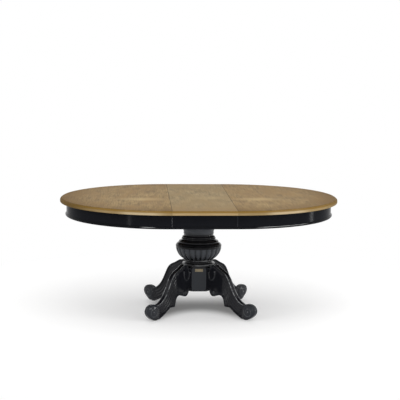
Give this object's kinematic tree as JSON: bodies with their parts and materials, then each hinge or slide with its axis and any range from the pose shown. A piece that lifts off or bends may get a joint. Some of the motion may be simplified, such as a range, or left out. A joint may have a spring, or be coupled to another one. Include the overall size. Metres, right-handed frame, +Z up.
{
  "type": "oval extending dining table",
  "caption": "Oval pedestal dining table with two sliding half-round ends on geared slides, a lift-out leaf, black apron, turned gadrooned column and scroll legs.",
  "frame": {"origin": "floor level under the pedestal axis, at the centre of the oval top", "axes": "+X along the long side of the top, +Y to the rear, +Z up"},
  "size_m": [1.8, 1.41, 0.755],
  "materials": {
    "oak_top": "oak veneer, satin lacquer",
    "oak_edge": "moulded oak, satin lacquer",
    "black_apron": "black lacquered wood",
    "black_bead": "black lacquered moulding",
    "grey_neck": "satin black lacquered turning",
    "black_column": "satin black lacquered wood",
    "black_turned": "gloss black lacquered turning",
    "black_bowl": "black lacquered carving",
    "black_leg": "black lacquered carving",
    "brass": "polished, blank",
    "nylon": "natural nylon",
    "glide_plastic": "black nylon",
    "pine": "planed softwood",
    "beech": "planed beech, waxed",
    "zinc_steel": "zinc plated"
  },
  "bodies": {
    "pedestal": {"base_ring": "black_turned", "centre_rail_bolts": "zinc_steel", "column": "black_column", "column_base_plate": "zinc_steel", "foot_glides": "glide_plastic", "front_centre_rail": "beech", "front_left_leg": "black_leg", "front_right_leg": "black_leg", "gadrooned_bowl": "black_bowl", "leg_nuts": "zinc_steel", "leg_studs": "zinc_steel", "leg_washers": "zinc_steel", "name_plate": "brass", "name_plate_pins": "brass", "neck_drum": "grey_neck", "neck_screws": "zinc_steel", "pinion_axles": "zinc_steel", "pinion_washers": "nylon", "rear_centre_rail": "beech", "rear_left_leg": "black_leg", "rear_right_leg": "black_leg", "shoulder_ring": "black_turned", "tie_rod": "zinc_steel", "tie_rod_nuts": "zinc_steel", "tie_rod_washers": "zinc_steel", "top_board": "pine"},
    "front_pinion": {"front_pinion": "nylon"},
    "rear_pinion": {"rear_pinion": "nylon"},
    "left_half": {"left_apron": "black_apron", "left_apron_bead": "black_bead", "left_cleats": "pine", "left_edge_band": "oak_edge", "left_front_rack": "nylon", "left_front_rail": "beech", "left_glue_blocks": "pine", "left_rear_rack": "nylon", "left_rear_rail": "beech", "left_top_panel": "oak_top", "left_underside_screws": "zinc_steel"},
    "right_half": {"right_apron": "black_apron", "right_apron_bead": "black_bead", "right_cleats": "pine", "right_edge_band": "oak_edge", "right_front_rack": "nylon", "right_front_rail": "beech", "right_glue_blocks": "pine", "right_rear_rack": "nylon", "right_rear_rail": "beech", "right_top_panel": "oak_top", "right_underside_screws": "zinc_steel"},
    "leaf": {"leaf_battens": "pine", "leaf_front_apron": "black_apron", "leaf_front_apron_bead": "black_bead", "leaf_front_edge_band": "oak_edge", "leaf_glue_blocks": "pine", "leaf_panel": "oak_top", "leaf_rear_apron": "black_apron", "leaf_rear_apron_bead": "black_bead", "leaf_rear_edge_band": "oak_edge"}
  },
  "joints": [
    {"name": "left_half_slide", "type": "slide", "parent": "pedestal", "child": "left_half", "axis": [-1, 0, 0], "range_m": [0, 0.05]},
    {"name": "right_half_slide", "type": "slide", "parent": "pedestal", "child": "right_half", "axis": [1, 0, 0], "range_m": [0, 0.05]},
    {"name": "front_pinion_spin", "type": "hinge", "parent": "pedestal", "child": "front_pinion", "pos_m": [0, -0.23, 0.70475], "axis": [0, 0, 1], "range_deg": [-215, 0]},
    {"name": "rear_pinion_spin", "type": "hinge", "parent": "pedestal", "child": "rear_pinion", "pos_m": [0, 0.23, 0.70475], "axis": [0, 0, 1], "range_deg": [-215, 0]},
    {"name": "leaf_lift", "type": "slide", "parent": "pedestal", "child": "leaf", "axis": [0, 0, 1], "range_m": [0, 0.35]}
  ],
  "couplings": [
    {"joint": "right_half_slide", "follows": "left_half_slide", "ratio": 1},
    {"joint": "front_pinion_spin", "follows": "left_half_slide", "rad_per_m": -74.074},
    {"joint": "rear_pinion_spin", "follows": "left_half_slide", "rad_per_m": -74.074}
  ]
}
